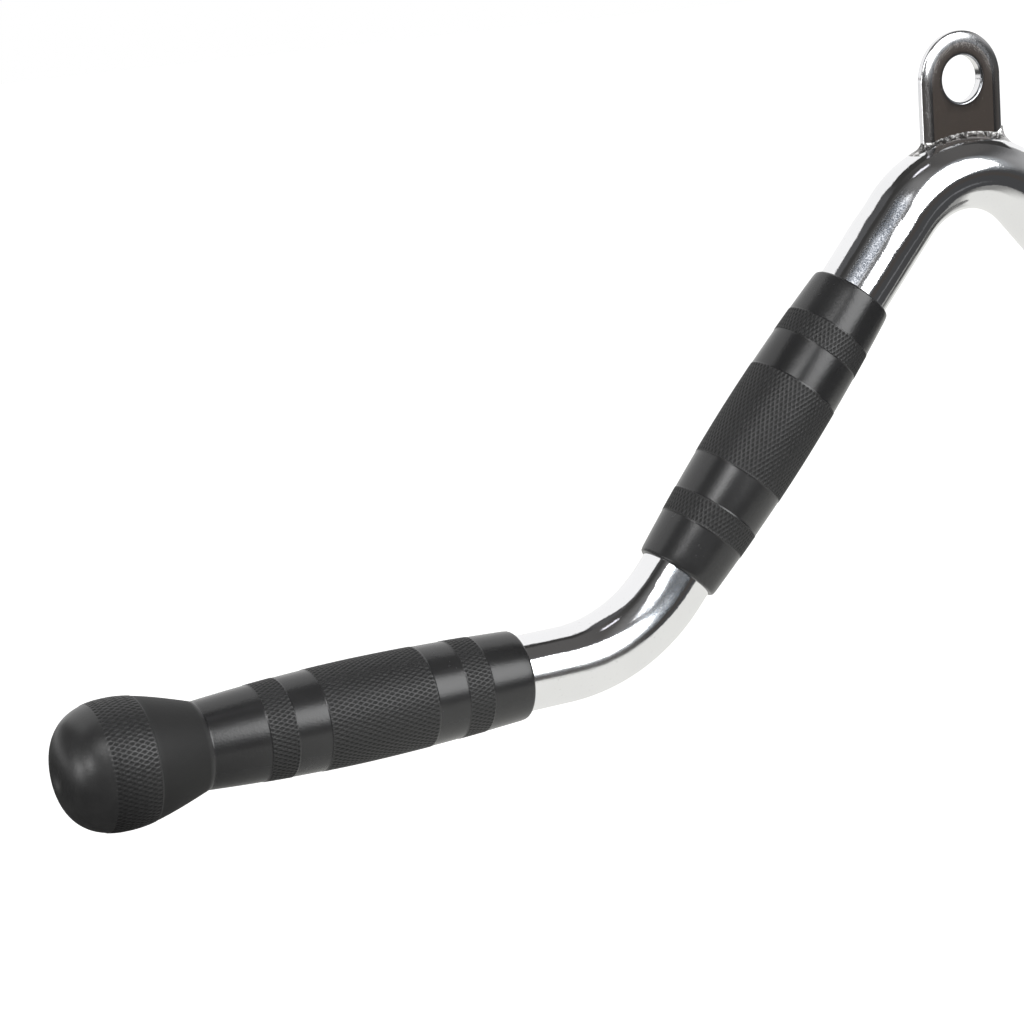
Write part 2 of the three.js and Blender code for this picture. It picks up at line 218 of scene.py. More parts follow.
# The bar's run, which every piece follows. Distances along it are from the top of the arch.
bar = {
    "radius": 12.7,
    "archBend": 36.0,
    "legSlope": math.radians(48),
    "handLeg": 151.0,
    "lowerBend": 56.0,
    "halfLength": 390.07,
    "archTop": -32.1,
    "endChamfer": 1.5,
    "archShows": 62,            # the arch is bare up to here, and the lower bend between these
    "bendShows": (176, 250),
    "rowStep": 0.75,            # between rows of points where the bar is bare
    "legRows": 12,              # and how many rows there are under the grips
    "endRows": 8,
    "columns": 128,
    "swellings": [(33.0, 5.0, -0.16), (43.0, 5.0, 0.17), (188.0, 4.0, 0.05), (226.0, 6.0, -0.03)],
    "swellingEven": 0.35,       # share of a swelling that goes all round
    "swellingLean": 0.2,        # its highest line stands this far behind the top
}
bar["archArc"] = bar["archBend"] * bar["legSlope"]
bar["lowerStart"] = bar["archArc"] + bar["handLeg"]
bar["lowerArc"] = bar["lowerBend"] * bar["legSlope"]
bar["outerStart"] = bar["lowerStart"] + bar["lowerArc"]


# Point and direction at a signed distance from the top of the arch: an arc of radius 36 down to the
# leg's slope, a straight, an arc of radius 56 back to level, a straight. The left is the mirror.
def centreline(distance):
    side, d = np.where(distance < 0, -1.0, 1.0), np.abs(distance)
    archTurn = np.clip(d, 0, bar["archArc"]) / bar["archBend"]
    run = np.clip(d - bar["archArc"], 0, bar["handLeg"])
    lowerTurn = np.clip(d - bar["lowerStart"], 0, bar["lowerArc"]) / bar["lowerBend"]
    outer = np.maximum(d - bar["outerStart"], 0)
    slope = bar["legSlope"]
    across = (bar["archBend"] * np.sin(archTurn) + run * np.cos(slope)
              + bar["lowerBend"] * (np.sin(slope) - np.sin(slope - lowerTurn)) + outer)
    drop = (bar["archBend"] * (1 - np.cos(archTurn)) + run * np.sin(slope)
            + bar["lowerBend"] * (np.cos(slope - lowerTurn) - np.cos(slope)))
    pitch = archTurn - lowerTurn
    point = np.stack([side * across, 0 * d, bar["archTop"] - drop], -1)
    direction = np.stack([np.cos(pitch), 0 * d, -side * np.sin(pitch)], -1)
    return point, direction


# A ring square to a direction: cos(turn) back + sin(turn) up, with the turn from the back.
def ringRound(direction, turn):
    up = np.cross(direction, backward)
    return np.cos(turn)[:, None] * backward + np.sin(turn)[:, None] * up[..., None, :]


# Rows of points round the run at their distances, centre + radius x ring. The radius carries the
# faint swellings that bending left, each a bell height x exp(-((distance - place) / width)^2).
def makeBar():
    fine, (bendFrom, bendTo) = bar["rowStep"], bar["bendShows"]
    half = np.concatenate([
        np.arange(0, bar["archShows"], fine),
        np.linspace(bar["archShows"] + 0.5, bendFrom - 1, bar["legRows"]),
        np.arange(bendFrom, bendTo, fine),
        np.linspace(bendTo + 2, bar["halfLength"] - bar["endChamfer"], bar["endRows"]),
        [bar["halfLength"]]])
    distance = np.concatenate([-half[:0:-1], half])
    turn = np.linspace(0, fullTurn, bar["columns"], endpoint=False)
    radius = np.full((len(distance), len(turn)), bar["radius"])
    even = bar["swellingEven"]
    above = np.clip(even + (1 - even) * np.sin(turn + bar["swellingLean"]), 0, 1)
    for place, width, height in bar["swellings"]:
        bell = height * np.exp(-((np.abs(distance) - place) / width) ** 2)
        radius += bell[:, None] * above
    radius[[0, -1]] -= bar["endChamfer"]
    point, direction = centreline(distance)
    points = point[:, None] + radius[..., None] * ringRound(direction, turn)
    uv = uvGrid(distance / 100, len(turn))
    return gridPiece("chromeBar", points, uv, poles=point[[0, -1]])


eye = {
    "hole": 8.0,
    "holeRounding": 0.8,
    "topWall": 8.3,
    "width": 33.0,
    "thickness": 4.0,
    "cushionWidth": 4.2,
    "cushionDepth": 1.25,
    "cushionPower": 2.3,
    "footRadius": 49.0,
    "columns": 288,
    "firstTurn": -0.3,
    "wallRows": 4,
    "roundingRows": 9,
    "cushionRows": 15,
    "flatShares": (0.02, 0.1, 0.3, 0.5, 0.7, 0.9, 0.98),    # rows of a flat face, hole to cushion
    "mouthFade": 6,                                         # the mouth's ring ends at 1/6 of it
}


# How far a ray from the hole's centre runs before it meets the plate's outline, moved in by
# `inset`: the sides x = +-(w - inset), the round top, and the foot's arc about the arch's centre.
def outlineReach(turn, inset):
    across, up = np.cos(turn), np.sin(turn)
    half = eye["width"] / 2 - inset
    topCentre = eye["hole"] + eye["topWall"] - eye["width"] / 2
    along = up * topCentre
    top = along + np.sqrt(np.maximum(along ** 2 - topCentre ** 2 + half ** 2, 0))
    side = half / np.maximum(np.abs(across), 1e-6)
    reach = np.where(top * up > topCentre, top, side)
    footCentre = bar["archTop"] - bar["archBend"]
    along = up * footCentre
    under = along ** 2 - footCentre ** 2 + eye["footRadius"] ** 2
    foot = np.where((under > 0) & (up < 0), along - np.sqrt(np.maximum(under, 0)), 1e9)
    return np.minimum(reach, foot)


# The section runs hole wall, rounding, face, cushion (1 - (1 - u^p)^(1/p), a softer quarter
# ellipse), edge wall, and back again, and is carried round the hole by the angle of the ray: a ring
# closed both ways. A row is a value, what the value measures, and y.
def makeEyePlate():
    turn = np.linspace(0, fullTurn, eye["columns"], endpoint=False) + eye["firstTurn"]
    face, rounding, power = eye["thickness"] / 2, eye["holeRounding"], eye["cushionPower"]
    width, depth = eye["cushionWidth"], eye["cushionDepth"]
    quarter = np.linspace(0, math.pi / 2, eye["roundingRows"])
    shoulder = np.sin(np.linspace(0, math.pi / 2, eye["cushionRows"]))
    rows = []
    for side in (-1, 1):
        wall = np.linspace(0, face - rounding, eye["wallRows"])[(side > 0):-1]
        edge = np.linspace(face - depth, 0, eye["wallRows"])[1:]
        half = ([(0.0, "hole", y) for y in wall]
                + [(rounding * (1 - math.cos(q)), "hole", face - rounding * (1 - math.sin(q)))
                   for q in quarter]
                + [(share, "flat", face) for share in eye["flatShares"]]
                + [(width * (1 - u), "inset", face - depth * (1 - (1 - u ** power) ** (1 / power)))
                   for u in shoulder]
                + [(0.0, "inset", y) for y in edge])
        half = [(value, kind, side * y) for value, kind, y in half]
        rows += half if side < 0 else half[::-1][1:]
    value, kind, y = (np.array(column)[:, None] for column in zip(*rows))
    kinds = [kind == "hole", kind == "flat"]
    mouth = eye["hole"] + rounding
    overFace = mouth + (outlineReach(turn, width) - mouth) * value
    reach = np.select(kinds, [eye["hole"] + value, overFace], outlineReach(turn, value))
    points = np.stack([reach * np.cos(turn), y + 0 * reach, reach * np.sin(turn)], -1)
    uv = uvGrid(np.linspace(0, 1, len(rows) + 1), len(turn))
    piece = gridPiece("weldedEyePlate", points, uv, closedRows=True)
    # "face" is 1 on the flat faces and falls to 0 over the cushion; "mouth" is 1 round the hole
    fading = np.maximum(0, 1 - eye["mouthFade"] * value)
    tag(piece, "face", np.select(kinds, [0, 1], value / width), len(turn))
    tag(piece, "mouth", np.select(kinds, [value > 0, fading], 0), len(turn))
    return piece


weld = {
    "innerLong": 16.3,       # half the length and width of the top edge
    "innerWide": 1.9,
    "sideLeg": 4.4,          # how far the toe stands out from the top edge
    "endLeg": 5.5,
    "sideHeight": 1.3,
    "leftHeight": 1.9,
    "rightHeight": 4.4,
    "topSlope": 0.022,       # the side pass climbs to the right
    "endBlend": 3.4,         # where the side's height turns into the end's
    "sideHollow": 0.75,      # share of the hollow in a section
    "endHollow": 0.9,
    "rippleLength": 1.9,
    "rippleHeight": 0.07,
    "rippleBow": 0.9,
    "rippleDrift": 0.3,
    "lumpHeight": 0.10,
    # waves of the lumps: along the pass, over it, and what each is divided by
    "lumps": [(0.7, 5.0, 1.2), (1.5, -7.0, 1.3), (2.9, 11.0, 1.6), (5.3, 15.0, 2.4)],
    "endCalm": (0.8, 0.7),   # how much of the ripples and lumps is gone at the ends
    "rows": 260,
    "climbRows": 22,
}


# One pass round half of the plate's foot. Its toe and its top are rounded rectangles, and between
# them a section climbs: a share of a dome and a share of a hollow. Ripples are |sin| arcs along the
# pass and lumps are a few sines of both parameters. It is worked out flat and bent over the arch.
def makeWeld(name, side, seed):
    dice = np.random.default_rng(seed)
    innerLong, innerWide = weld["innerLong"], weld["innerWide"]
    straight = innerLong - innerWide
    corner = innerWide * math.pi / 2
    run = np.linspace(0, 1, weld["rows"]) * (2 * straight + 2 * corner)
    left = np.clip(run / corner, 0, 1) * math.pi / 2
    right = np.clip((run - corner - 2 * straight) / corner, 0, 1) * math.pi / 2
    base = np.clip(run - corner, 0, 2 * straight) - straight
    unitX = -np.cos(left) + np.sin(right)
    unitY = np.sin(left) * np.cos(right)
    innerX, innerY = base + innerWide * unitX, innerWide * unitY
    outerX = base + (innerWide + weld["endLeg"]) * unitX
    outerY = (innerWide + weld["sideLeg"]) * unitY
    atEnd = smoothStep(np.abs(innerX), innerLong - weld["endBlend"], innerLong)
    hollow = weld["sideHollow"] + (weld["endHollow"] - weld["sideHollow"]) * atEnd
    endHeight = np.where(innerX < 0, weld["leftHeight"], weld["rightHeight"])
    top = (weld["sideHeight"] + (endHeight - weld["sideHeight"]) * atEnd
           + weld["topSlope"] * innerX * (1 - atEnd))
    toe = np.sqrt(bar["radius"] ** 2 - outerY ** 2) - bar["radius"]
    climbTurn = np.linspace(math.pi / 2, 0, weld["climbRows"])[:, None]
    spread = np.cos(climbTurn) * (1 - hollow) + (1 - np.sin(climbTurn)) * hollow
    climb = np.sin(climbTurn) * (1 - hollow) + (1 - np.cos(climbTurn)) * hollow
    length = base + 2.0 * unitX
    bow = weld["rippleBow"] * spread ** 2 + weld["rippleDrift"] * np.sin(length * 0.9)
    ripple = np.abs(np.sin(math.pi * (length + bow) / weld["rippleLength"]))
    lumps = sum(np.sin(along * length + over * spread + start) / calm
                for (along, over, calm), start in zip(weld["lumps"], dice.uniform(0, 6.28, 4)))
    rippleCalm, lumpCalm = weld["endCalm"]
    swell = np.sin(np.clip(climbTurn, 0, math.pi / 2) * 2) ** 0.6
    proud = swell * (weld["rippleHeight"] * (ripple - 0.6) * (1 - rippleCalm * atEnd)
                     + weld["lumpHeight"] * lumps * (1 - lumpCalm * atEnd))
    x = innerX + (outerX - innerX) * spread + proud * 0.4 * unitX
    y = innerY + (outerY - innerY) * spread + proud * 0.5 * unitY
    height = toe + (top - toe) * climb + proud
    # the rest of the section goes down into the bar and back up inside the plate
    x = np.concatenate([x, [outerX, innerX * 0.9, innerX * 0.9]])
    y = np.concatenate([y, [outerY * 0.96, innerY * 0.3, innerY * 0.3]])
    height = np.concatenate([height, [toe - 1.2, toe * 0 - 2.0, top * 0.6]])
    crown = bar["archBend"] + bar["radius"]
    angle, reach = x / crown, crown + height
    centre = bar["archTop"] - bar["archBend"]
    points = np.stack([reach * np.sin(angle), side * y, centre + reach * np.cos(angle)], -1)
    points = points.transpose(1, 0, 2)
    uv = uvGrid(np.linspace(0, 4, points.shape[0]), points.shape[1])
    return gridPiece(name, points, uv, poles=points[[0, -1]].mean(1))


knurl = {
    "rise": 0.14,            # crests above the plain bands
    "depth": 0.42,           # floors of the cells below the crests
    "bulbDepth": 0.34,
    "crestWidth": 0.06,      # half a crest's flat top, as a share of half a cell
    "innerPitch": 3.05,
    "outerPitch": 3.18,
    "handCells": 65,         # cells round a hand grip, and steps of points to a cell
    "handSteps": 6,
    "bulbCells": 78,
    "bulbSteps": 5,
    "lip": 0.08,             # plain border of a knurled band
    "ramp": 0.16,            # slope at a knurled band's edge
}
grip = {
    "bore": 12.72,
    "rim": 1.1,
    "rimRows": 7,
    "rimClear": 0.3,         # between the rim's last row and the skin's first
    "barrelPower": 1.85,
    # bands are a length, and 1 where it is knurled
    "innerStart": 62.36,
    "innerBands": [(15.9, 0), (8.7, 1), (14.2, 0), (35.6, 1), (14.2, 0), (8.7, 1), (15.9, 0)],
    "innerEnd": 14.3,
    "innerMiddle": 16.6,
    "outerStart": 245.77,
    "outerBands": [(15.5, 0), (8.8, 1), (11.2, 0), (37.2, 1), (11.2, 0), (8.8, 1), (18.7, 0),
                   (19.3, 0), (14.6, 1)],
    "outerEnd": 14.85,
    "outerMiddle": 16.65,
    "neck": 14.1,
    "crest": 20.6,
    "barrel": 111.4,
    "flare": 26.6,
    "flareBend": 2.2,
    # the flare's dull skin, whose colour is also darkened as painted shade
    "dullShadedFlare": (111.4, 113, 130, 131),     # the flare's dull skin
    "matteFrom": (130.2, 130.6),             # the matte bulb begins
    "dome": 20.0,
    "domePower": 2.5,
    "domeRows": 30,
    "boreDepth": 144.6,
    "boreTip": 4.0,
    "recess": 3.9,
    "recessDepth": 0.9,
    "recessRounding": 1.3,
    "recessRows": 9,
}


# middle - (middle - end) |2 share - 1|^power: a barrel's radius along its length
def barrel(along, length, first, middle, last):
    share = along / length
    fall = np.abs(2 * share - 1) ** grip["barrelPower"]
    return middle - (middle - np.where(share < 0.5, first, last)) * fall


# The barrel to the neck, then a flare that is nearly a cone and rounds over to the crest (a
# hyperbola of the distance left to the crest), then a dome, a fuller cousin of a quarter circle.
def outerRadius(along):
    crestAt = grip["barrel"] + grip["flare"]
    body = barrel(np.clip(along, 0, grip["barrel"]), grip["barrel"], grip["outerEnd"],
                  grip["outerMiddle"], grip["neck"])
    toCrest = np.clip((crestAt - along) / grip["flare"], 0, 1)
    bend = grip["flareBend"]
    share = (np.sqrt(1 + (bend * toCrest) ** 2) - 1) / (math.hypot(1, bend) - 1)
    flare = grip["crest"] - (grip["crest"] - grip["neck"]) * share
    past = np.clip((along - crestAt) / grip["dome"], 0, 1)
    dome = grip["crest"] * (1 - past ** grip["domePower"]) ** (1 / grip["domePower"])
    return np.where(along < grip["barrel"], body, np.where(along < crestAt, flare, dome))


# A barrel whose two ends are alike.
def innerRadius(along):
    length = sum(size for size, _ in grip["innerBands"])
    return barrel(along, length, grip["innerEnd"], grip["innerMiddle"], grip["innerEnd"])


# Rows of the skin: where each is, how far it is raised to the crests, and how far its cells are
# sunk. The rows of a knurled band stand at whole shares of the pitch, so that the crests run
# through the points. The rows of a plain band stand about 2 apart, and close together near its
# edges, which keeps those crisp.
def bandRows(bands, pitch, steps):
    parts = []
    start, lip, ramp = 0.0, knurl["lip"], knurl["ramp"]
    for (size, knurled), step in zip(bands, steps):
        end = start + size
        if knurled:
            spacing = pitch / step
            first, last = math.ceil((start + lip) / spacing), math.floor((end - lip) / spacing)
            inside = np.arange(first, last + 1) * spacing
            along = np.concatenate([[start], inside, [end]])
            sunk = np.concatenate([[0], np.ones(len(inside)), [0]])
        else:
            middle = np.linspace(start, end, max(2, round(size / 2)) + 1)[1:-1]
            along = np.concatenate([[start + ramp, start + 3 * ramp], middle,
                                    [end - 3 * ramp, end - ramp]])
            sunk = np.zeros(len(along))
        parts.append([along, np.full(len(along), float(knurled)), sunk])
        start = end
    return np.concatenate(parts, 1)


# Two families of helical crests, at whole values of a/pitch + n turns and a/pitch - n turns, cross
# in a net. A cell is an upturned pyramid: its depth grows with the distance to the nearer crest.
def cellDepth(along, turns, pitch, cells):
    first, second = along / pitch + cells * turns, along / pitch - cells * turns
    nearer = 2 * np.minimum(np.abs(first - np.round(first)), np.abs(second - np.round(second)))
    width = knurl["crestWidth"]
    return np.clip((nearer - width) / (1 - width), 0, 1), first


# A rounded rim: an arc from the end face to the skin, no wider than most of the wall.
def rimRows(end, radius, inward):
    rounding = min(grip["rim"], (radius - grip["bore"]) * 0.9)
    turn = np.linspace(0, math.pi / 2, grip["rimRows"])
    return end + inward * rounding * (1 - np.cos(turn)), radius - rounding * (1 - np.sin(turn))


# A grip from its rows (distance along, radius, raised, sunk, cells round): the rows are turned
# about the leg, radius + raised x rise - sunk x depth from its middle. A crest that crosses a
# square from corner to corner takes the square's diagonal, so that it stays a straight ridge.
def makeGrip(name, side, start, rows, pitch, closed):
    along, radius, raised, sunk, cells = (np.array(row, float) for row in rows)
    columns = knurl["handCells"] * knurl["handSteps"]
    turns = np.arange(columns) / columns
    depth, first = cellDepth(along[:, None], turns[None], pitch, cells[:, None])
    floors = sunk * np.where(cells == knurl["bulbCells"], knurl["bulbDepth"], knurl["depth"])
    skin = radius[:, None] + raised[:, None] * knurl["rise"] - floors[:, None] * depth
    point, direction = centreline(np.array([side * start]))
    centres = point[0] + along[:, None] * direction[0] * side
    points = centres[:, None] + skin[..., None] * ringRound(direction[0], fullTurn * turns)
    uv = uvGrid(np.append(along, along[0]) / 100, columns)
    onward = np.roll(first, -1, 1)
    crossed = (np.abs(onward - np.round(onward)) < 0.01) & (sunk[:, None] > 0)
    poles = None if closed else centres[[0, -1]]
    piece = gridPiece(name, points, uv, closedRows=closed, poles=poles, crossed=crossed)
    flareFrom, flareFull, flareLeave, flareEnd = grip["dullShadedFlare"]
    flare = smoothStep(along, flareFrom, flareFull) * smoothStep(along, flareEnd, flareLeave)
    onBulb = 0 if closed else 1
    tag(piece, "cell", sunk[:, None] * depth)
    tag(piece, "knurled", sunk, columns)
    tag(piece, "matte", onBulb * smoothStep(along, *grip["matteFrom"]), columns)
    tag(piece, "flare", onBulb * flare, columns)
    return piece


# An inner grip's rows: the near rim, the skin, the far rim, and back through the bore.
def innerRows():
    steps = [knurl["handSteps"]] * len(grip["innerBands"])
    along, raised, sunk = bandRows(grip["innerBands"], knurl["innerPitch"], steps)
    length = sum(size for size, _ in grip["innerBands"])
    nearAlong, nearRadius = rimRows(0, innerRadius(0.0), 1)
    farAlong, farRadius = rimRows(length, innerRadius(length), -1)
    clear = grip["rimClear"]
    inside = (along > nearAlong[-1] + clear) & (along < farAlong[-1] - clear)
    along, raised, sunk = along[inside], raised[inside], sunk[inside]
    bore = np.array([length, length * 0.5, 0.0])
    rowAlong = np.concatenate([nearAlong, along, farAlong[::-1], bore])
    rowRadius = np.concatenate([nearRadius, innerRadius(along), farRadius[::-1],
                                np.full(len(bore), grip["bore"])])
    plain = (len(nearAlong), len(farAlong) + len(bore))
    raised, sunk = np.pad(raised, plain), np.pad(sunk, plain)
    return rowAlong, rowRadius, raised, sunk, np.full(len(rowAlong), knurl["handCells"])


# An outer grip's rows: out of the bore, the near rim, the skin, the dome and the dish in its end.
def outerRows():
    steps = [knurl["handSteps"]] * (len(grip["outerBands"]) - 1) + [knurl["bulbSteps"]]
    along, raised, sunk = bandRows(grip["outerBands"], knurl["outerPitch"], steps)
    nearAlong, nearRadius = rimRows(0, outerRadius(0.0), 1)
    inside = along > nearAlong[-1] + grip["rimClear"]
    along, raised, sunk = along[inside], raised[inside], sunk[inside]
    # the dome in equal turns, from the knurled band's end to the lip of the recess
    crestAt = grip["barrel"] + grip["flare"]
    lip = grip["recess"] + grip["recessRounding"]
    power = grip["domePower"] / 2
    first = math.asin(((along[-1] - crestAt) / grip["dome"]) ** power)
    last = math.acos((lip / grip["crest"]) ** power)
    turn = np.linspace(first, last, grip["domeRows"])[1:]
    domeAlong = crestAt + grip["dome"] * np.sin(turn) ** (1 / power)
    domeRadius = grip["crest"] * np.cos(turn) ** (1 / power)
    # the recess: a soft shoulder, then a shallow dish
    share = np.linspace(0, 1, grip["recessRows"])[1:-1]
    dishAlong = domeAlong[-1] - grip["recessDepth"] * smoothStep(share, 0, 0.8)
    bore = np.array([grip["boreDepth"], grip["boreDepth"], 0.0])
    boreRadius = np.array([grip["boreTip"], grip["bore"], grip["bore"]])
    rowAlong = np.concatenate([bore, nearAlong, along, domeAlong, dishAlong])
    rowRadius = np.concatenate([boreRadius, nearRadius, outerRadius(along), domeRadius,
                                lip * (1 - share)])
    plain = (len(bore) + len(nearAlong), len(domeAlong) + len(dishAlong))
    raised, sunk = np.pad(raised, plain), np.pad(sunk, plain)
    cells = np.where(rowAlong > grip["barrel"], knurl["bulbCells"], knurl["handCells"])
    return rowAlong, rowRadius, raised, sunk, cells


# The plating. Noise scales are per metre. A patch is where it starts, is full, leaves and ends:
# along the bar in tenths of a metre from the arch's top, and round it in turns from the back.
plating = {
    "clouds": 35.0,
    "cloudDip": 0.965,                       # share of the tint that is left between the clouds
    "streakStretch": (2.5, 30.0, 1.0),
    "streaks": 6.0,
    "specks": 900.0,
    "speckColour": (0.42, 0.41, 0.40),
    "mottle": 160.0,
    "bar": {
        "tint": (0.90, 0.90, 0.91), "gloss": 0.04, "streaky": 0.05, "peel": 0.00003,
        "grain": 1900.0,
        "upperAlong": (0.22, 0.31, 0.60, 0.70), "upperRound": (0.34, 0.365, 0.405, 0.425),
        # painted dark bluish reflection on the upper legs' front
        "upperColour": (0.13, 0.145, 0.17),
        "lowerAlong": (1.60, 1.76, 1.94, 2.08), "lowerRound": (0.365, 0.395, 0.465, 0.485),
        # painted bluish reflection where the lower bends begin
        "lowerColour": (0.30, 0.34, 0.39),
        "wornAlong": (1.95, 2.10), "wornRound": (0.445, 0.465, 0.50, 0.515),
    },
    "eye": {
        "tint": (0.88, 0.88, 0.89), "gloss": 0.055, "streaky": 0.01, "peel": 0.000018,
        "brushing": (900.0, 900.0, 60.0),
        # painted brown reflection of the room on the flat faces
        "filmColour": (0.86, 0.785, 0.735),
        # painted dark reflections round each face and round the hole's mouth
        "faceRing": (0.40, 0.85, 0.9, 1.0), "faceRingColour": (0.26, 0.27, 0.285),
        "mouthRingColour": (0.30, 0.31, 0.33),
        "crownRadius": (0.0090, 0.0140), "crownUp": (-0.005, 0.006),
    },
    "weld": {
        "tint": (0.86, 0.85, 0.84), "gloss": 0.06, "streaky": 0.02, "peel": 0.00020,
        "grains": 420.0, "grainShare": (0.49, 0.58), "grainColour": (0.16, 0.155, 0.15),
    },
}


# Bump, the Principled shader, and the constants that are the same all over.
def closeSheet(sheet, colour, roughness, relief, height, **constants):
    bump = sheet.node("ShaderNodeBump", None, {
        "Strength": 1.0, "Distance": height, "Height": relief})
    shader = sheet.node("ShaderNodeBsdfPrincipled", None, {
        "Base Color": colour, "Roughness": roughness, "Normal": bump, **constants})
    sheet.node("ShaderNodeOutputMaterial", None, {"Surface": shader})


# Chrome over polished steel. The tint dips by smooth clouds. The roughness is the gloss plus shares
# of a fine mottle, of the polishing belt's streaks (noise on the stretched UV map) and of specks of
# dust. The bump is an orange peel, a sum of noises. What one piece alone has, painted reflections
# included, comes from `marksAndReflections`.
def chromeFinish(name, look, marksAndReflections):
    material, sheet = newMaterial(name)
    place, along = coordinates(sheet, "Object"), coordinates(sheet, "UV")
    streak = noise(stretched(along, plating["streakStretch"]), plating["streaks"], 3.0, 0.6)
    speck = noise(place, plating["specks"], 2.0, 0.6).step(0.66, 0.74)
    mottle = noise(place, plating["mottle"], 3.0, 0.6)
    dipped = [part * plating["cloudDip"] for part in look["tint"]]
    colour = noise(place, plating["clouds"], 2.0).step(0.3, 0.7).mix(dipped, look["tint"])
    colour = (speck * 0.2).mix(colour, plating["speckColour"])
    roughness = look["gloss"] + 0.035 * mottle + look["streaky"] * (streak - 0.45) + 0.1 * speck
    colour, roughness = marksAndReflections(sheet, look, place, along, mottle, colour, roughness)
    peel = (noise(place, 1500.0, 2.0, 0.6) * 0.35 + noise(place, 420.0, 2.0, 0.5) * 0.6
            + streak * 0.3 + noise(place, 90.0, 1.0) * 1.6)
    closeSheet(sheet, colour, roughness, peel, look["peel"], Metallic=1.0)
    return material


# Grainy, duller plating with a painted dark bluish reflection on the upper legs' front and where
# the lower bends begin, and a band worn dull by hands beside the outer grips.
def barMarksAndReflections(sheet, look, place, along, mottle, colour, roughness):
    u, v, _ = axes(along)
    leg = sheet.maths("ABSOLUTE", u)
    upper = leg.band(*look["upperAlong"]) * v.band(*look["upperRound"])
    lower = leg.band(*look["lowerAlong"]) * v.band(*look["lowerRound"])
    worn = leg.step(*look["wornAlong"]) * v.band(*look["wornRound"])
    grain = noise(place, look["grain"], 3.0, 0.75).step(0.36, 0.64)
    roughness = (roughness + upper * (0.08 + 0.30 * grain) + lower * (0.05 + 0.15 * grain)
                 + worn * 0.10)
    # both patches' colours are painted dark bluish reflection, broken up by the grain
    colour = (upper * (0.72 + 0.28 * grain)).mix(colour, look["upperColour"])
    colour = (lower * (0.15 + 0.8 * grain)).mix(colour, look["lowerColour"])
    return colour, roughness


# A painted warm brown reflection on the flat faces, weaker on the crown above the hole, where the
# plate is also more brushed. Painted dark reflections ring each face and the hole's mouth, and the
# shoulder is duller.
def eyeMarksAndReflections(sheet, look, place, along, mottle, colour, roughness):
    face, mouth = tagged(sheet, "face"), tagged(sheet, "mouth")
    brushed = noise(stretched(place, look["brushing"]), 1.0, 2.0, 0.6)
    x, _, z = axes(place)
    crown = ((x * x + z * z) ** 0.5).step(*look["crownRadius"]) * z.step(*look["crownUp"])
    # painted warm brown reflection on the flat faces
    brownReflection = face.step(0.8, 1.0) * (0.45 + 0.4 * mottle + 0.4 * brushed) * (1 - 0.6 * crown)
    colour = brownReflection.mix(colour, look["filmColour"])
    # painted dark reflection rings round each face and round the hole's mouth
    colour = (face.band(*look["faceRing"]) * 0.9).mix(colour, look["faceRingColour"])
    colour = (mouth * 0.85).mix(colour, look["mouthRingColour"])
    roughness = (roughness + face.step(1.0, 0.85) * (0.02 + 0.06 * brushed) + 0.04 * brushed
                 + crown * face.step(0.5, 0.9) * (0.10 + 0.12 * brushed))
    return colour, roughness


# Bare dark grains, fewer to the weld's right.
def weldMarks(sheet, look, place, along, mottle, colour, roughness):
    x, _, _ = axes(place)
    grains = (noise(place, look["grains"], 3.0, 0.7) - x * 6.0).step(*look["grainShare"])
    return (grains * 0.85).mix(colour, look["grainColour"]), roughness


rubber = {
    "deep": (0.017, 0.017, 0.0175),
    "pale": (0.023, 0.023, 0.0235),
    "dry": [0.031] * 3,
    "dust": [0.07] * 3,
    # painted shade on the flare
    "flare": [0.007] * 3,
    # painted shade in the knurl's cells
    "cell": [0.004] * 3,
    "crest": [0.045] * 3,
    "gloss": 0.25,
    "ior": 1.55,
    "grainHeight": 0.00004,
    "clouds": 28.0,
    "smears": 70.0,
    "dusting": 650.0,
}


# Moulded rubber: near black, paler and drier on the bulb and a little on the crests and where dust
# sits, with painted shade darkening the flare and the cells. The roughness is the gloss plus broad
# clouds of handling and a share for each dull place, and the bump is a fine moulded grain.
def rubberFinish():
    material, sheet = newMaterial("mouldedRubber")
    place = coordinates(sheet, "Object")
    cell, knurled, matte, flare = (tagged(sheet, name)
                                   for name in ("cell", "knurled", "matte", "flare"))
    cloud = noise(place, rubber["clouds"], 3.0)
    dust = noise(place, rubber["dusting"], 3.0, 0.65).step(0.52, 0.72)
    smear = noise(place, rubber["smears"], 3.0, 0.6).step(0.25, 0.75)
    dry = matte * (1 - knurled)
    crest = (knurled - cell).step(0.55, 1.0)
    colour = cloud.step(0.3, 0.7).mix(rubber["deep"], rubber["pale"])
    # the flare and cell colours are painted shade in those hollows
    for mask, name in ((dry * (0.1 + 0.8 * smear), "dry"), (dust * 0.02, "dust"),
                       (flare * 0.9, "flare"), (cell.step(0.0, 0.5) * 0.85, "cell"),
                       (crest * 0.10, "crest")):
        colour = mask.mix(colour, rubber[name])
    roughness = (rubber["gloss"] + 0.14 * (cloud - 0.5) + 0.01 * dust
                 + dry * (0.08 + 0.06 * smear) + 0.42 * flare + knurled * 0.08
                 + cell.step(0.0, 0.4) * (0.28 + 0.08 * matte))
    grain = noise(place, 1400.0, 2.0, 0.6) + noise(place, 240.0, 2.0, 0.5)
    closeSheet(sheet, colour, roughness, grain, rubber["grainHeight"], IOR=rubber["ior"])
    return material


barChrome = chromeFinish("platedBarChrome", plating["bar"], barMarksAndReflections)
eyeChrome = chromeFinish("platedEyeChrome", plating["eye"], eyeMarksAndReflections)
weldChrome = chromeFinish("platedWeldChrome", plating["weld"], weldMarks)
gripRubber = rubberFinish()
print("finishes mixed")

